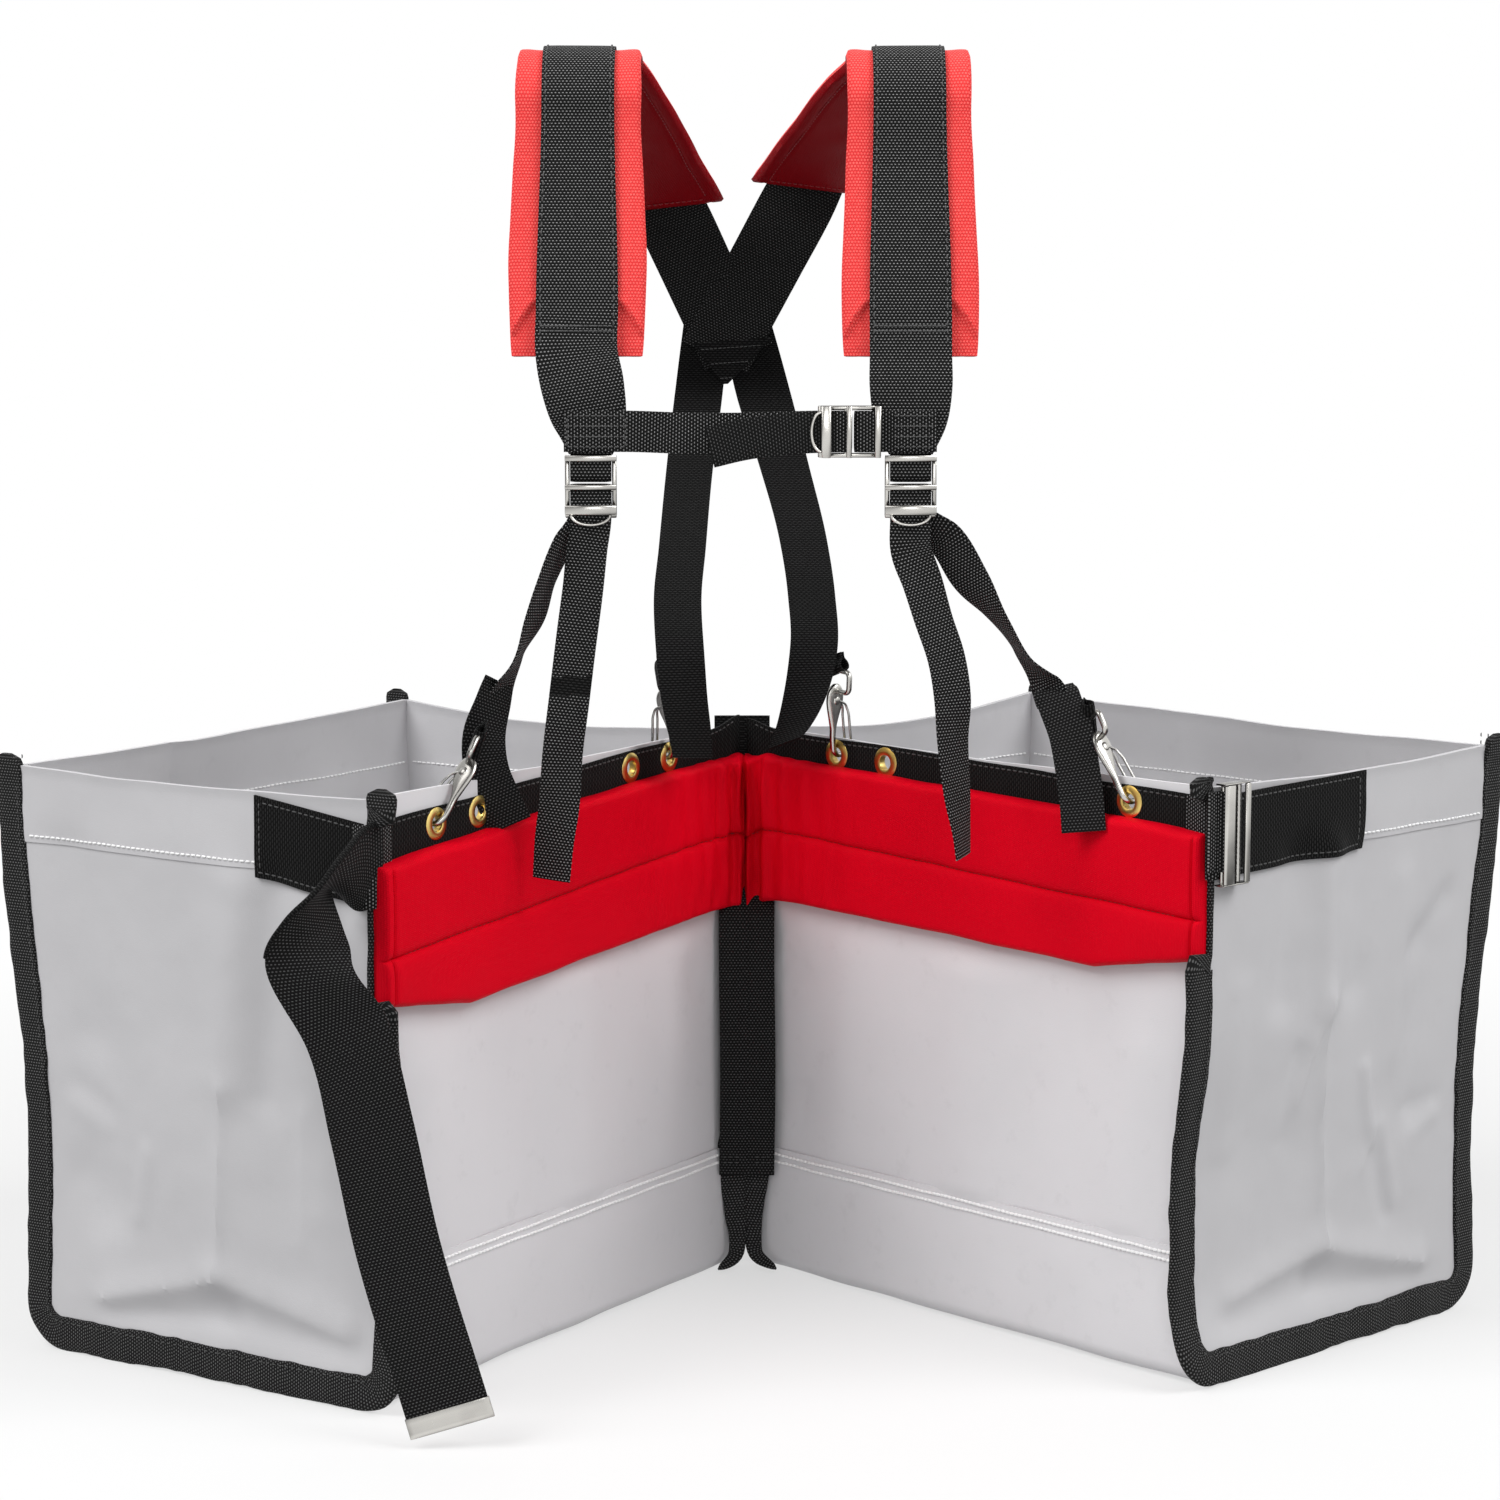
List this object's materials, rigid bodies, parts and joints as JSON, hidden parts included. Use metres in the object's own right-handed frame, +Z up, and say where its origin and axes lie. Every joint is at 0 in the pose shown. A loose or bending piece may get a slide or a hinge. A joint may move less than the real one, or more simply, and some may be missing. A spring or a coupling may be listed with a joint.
{
  "type": "tree planting bag",
  "caption": "Tree planter's bag set: open coated-cloth bags joined at an upright fold, with a padded hip belt, snap hooks and a crossed shoulder harness with adjusters.",
  "frame": {"origin": "on the ground, under the middle of the part's box", "axes": "+X to the right as seen by someone facing the wearer, +Y away from them towards the wearer's back, +Z up"},
  "size_m": [0.9816, 0.6036, 0.8334],
  "materials": {
    "bag_cloth": "light grey satin coated cloth",
    "binding_tape": "black woven tape",
    "black_webbing": "black woven webbing with pale flecks",
    "red_padding": "glossy red coated cloth over foam",
    "brass": "rolled brass",
    "nickel": "nickel plated steel",
    "spring_steel": "plated spring strip"
  },
  "bodies": {
    "harness": {"left_shoulder_webbing": "black_webbing", "left_shoulder_pad": "red_padding", "left_back_strap": "black_webbing", "left_front_strap": "black_webbing", "right_shoulder_webbing": "black_webbing", "right_shoulder_pad": "red_padding", "right_back_strap": "black_webbing", "right_front_strap": "black_webbing", "sternum_strap": "black_webbing", "adjuster_anchors": "black_webbing", "fold_strap": "black_webbing", "link_strap": "black_webbing"},
    "left_bag": {"left_front_panel": "bag_cloth", "left_back_panel": "bag_cloth", "left_base_panel": "bag_cloth", "left_outer_gusset": "bag_cloth", "left_inner_gusset": "bag_cloth", "left_outer_binding": "binding_tape", "left_inner_binding": "binding_tape", "left_belt_band": "black_webbing", "left_hip_pad": "red_padding", "left_grommets": "brass", "left_front_hook": "nickel", "left_rear_hook": "nickel", "left_hook_rivets": "nickel", "left_hook_loops": "black_webbing", "left_hook_guard": "black_webbing"},
    "right_bag": {"right_front_panel": "bag_cloth", "right_back_panel": "bag_cloth", "right_base_panel": "bag_cloth", "right_outer_gusset": "bag_cloth", "right_inner_gusset": "bag_cloth", "right_outer_binding": "binding_tape", "right_inner_binding": "binding_tape", "right_belt_band": "black_webbing", "right_hip_pad": "red_padding", "right_grommets": "brass", "right_front_hook": "nickel", "right_rear_hook": "nickel", "right_hook_rivets": "nickel", "right_hook_loops": "black_webbing", "right_hook_guard": "black_webbing", "buckle_frame": "nickel", "buckle_strap": "black_webbing"},
    "left_front_snap": {"left_front_tongue": "spring_steel"},
    "left_rear_snap": {"left_rear_tongue": "spring_steel"},
    "right_front_snap": {"right_front_tongue": "spring_steel"},
    "right_rear_snap": {"right_rear_tongue": "spring_steel"},
    "left_adjuster": {"left_adjuster_frame": "nickel", "left_adjuster_bow": "nickel"},
    "right_adjuster": {"right_adjuster_frame": "nickel", "right_adjuster_bow": "nickel"},
    "sternum_adjuster": {"sternum_adjuster_frame": "nickel", "sternum_adjuster_bow": "nickel"},
    "hanging_belt": {"belt_tail": "black_webbing", "belt_tip": "nickel"},
    "buckle_slider": {"buckle_bar": "nickel"}
  },
  "joints": [
    {"name": "left_bag_swing", "type": "hinge", "parent": "harness", "child": "left_bag", "pos_m": [-0.01282, 0.09031, 0.1905], "axis": [0, 0, -1], "range_deg": [-15, 25], "deforming": ["left_front_strap", "left_back_strap", "fold_strap", "link_strap"]},
    {"name": "right_bag_swing", "type": "hinge", "parent": "harness", "child": "right_bag", "pos_m": [-0.01282, 0.09031, 0.1905], "axis": [0, 0, 1], "range_deg": [-15, 25], "deforming": ["right_front_strap", "right_back_strap", "fold_strap", "link_strap"]},
    {"name": "left_front_snap_flex", "type": "hinge", "parent": "left_bag", "child": "left_front_snap", "pos_m": [-0.18841, -0.17398, 0.3864], "axis": [0.4093, 0.6475, -0.6428], "range_deg": [0, 25], "stiffness_Nm_per_rad": 0.3, "springref_deg": -8.59},
    {"name": "left_rear_snap_flex", "type": "hinge", "parent": "left_bag", "child": "left_rear_snap", "pos_m": [-0.06751, 0.01728, 0.40482], "axis": [0.5185, 0.8202, 0.2419], "range_deg": [0, 25], "stiffness_Nm_per_rad": 0.3, "springref_deg": -8.59},
    {"name": "right_front_snap_flex", "type": "hinge", "parent": "right_bag", "child": "right_front_snap", "pos_m": [0.21479, -0.13827, 0.3974], "axis": [0.5972, -0.6272, 0.5], "range_deg": [0, 25], "stiffness_Nm_per_rad": 0.3, "springref_deg": -8.59},
    {"name": "right_rear_snap_flex", "type": "hinge", "parent": "right_bag", "child": "right_rear_snap", "pos_m": [0.05028, 0.03449, 0.40592], "axis": [0.6887, -0.7232, -0.0523], "range_deg": [0, 25], "stiffness_Nm_per_rad": 0.3, "springref_deg": -8.59},
    {"name": "left_adjuster_tilt", "type": "hinge", "parent": "harness", "child": "left_adjuster", "pos_m": [-0.10732, -0.14969, 0.579], "axis": [-1, 0, 0], "range_deg": [0, 50], "deforming": ["left_front_strap"]},
    {"name": "right_adjuster_tilt", "type": "hinge", "parent": "harness", "child": "right_adjuster", "pos_m": [0.09018, -0.14969, 0.579], "axis": [-1, 0, 0], "range_deg": [0, 50], "deforming": ["right_front_strap"]},
    {"name": "sternum_adjuster_tilt", "type": "hinge", "parent": "harness", "child": "sternum_adjuster", "pos_m": [0.06918, -0.15389, 0.596], "axis": [0, 0, 1], "range_deg": [0, 50], "deforming": ["sternum_strap"]},
    {"name": "belt_tail_swing", "type": "hinge", "parent": "left_bag", "child": "hanging_belt", "pos_m": [-0.23577, -0.25242, 0.34044], "axis": [0, -1, 0], "range_deg": [-30, 40]},
    {"name": "buckle_bar_slide", "type": "slide", "parent": "right_bag", "child": "buckle_slider", "axis": [0.7242, 0.6896, 0], "range_m": [-0.003, 0.004]}
  ]
}
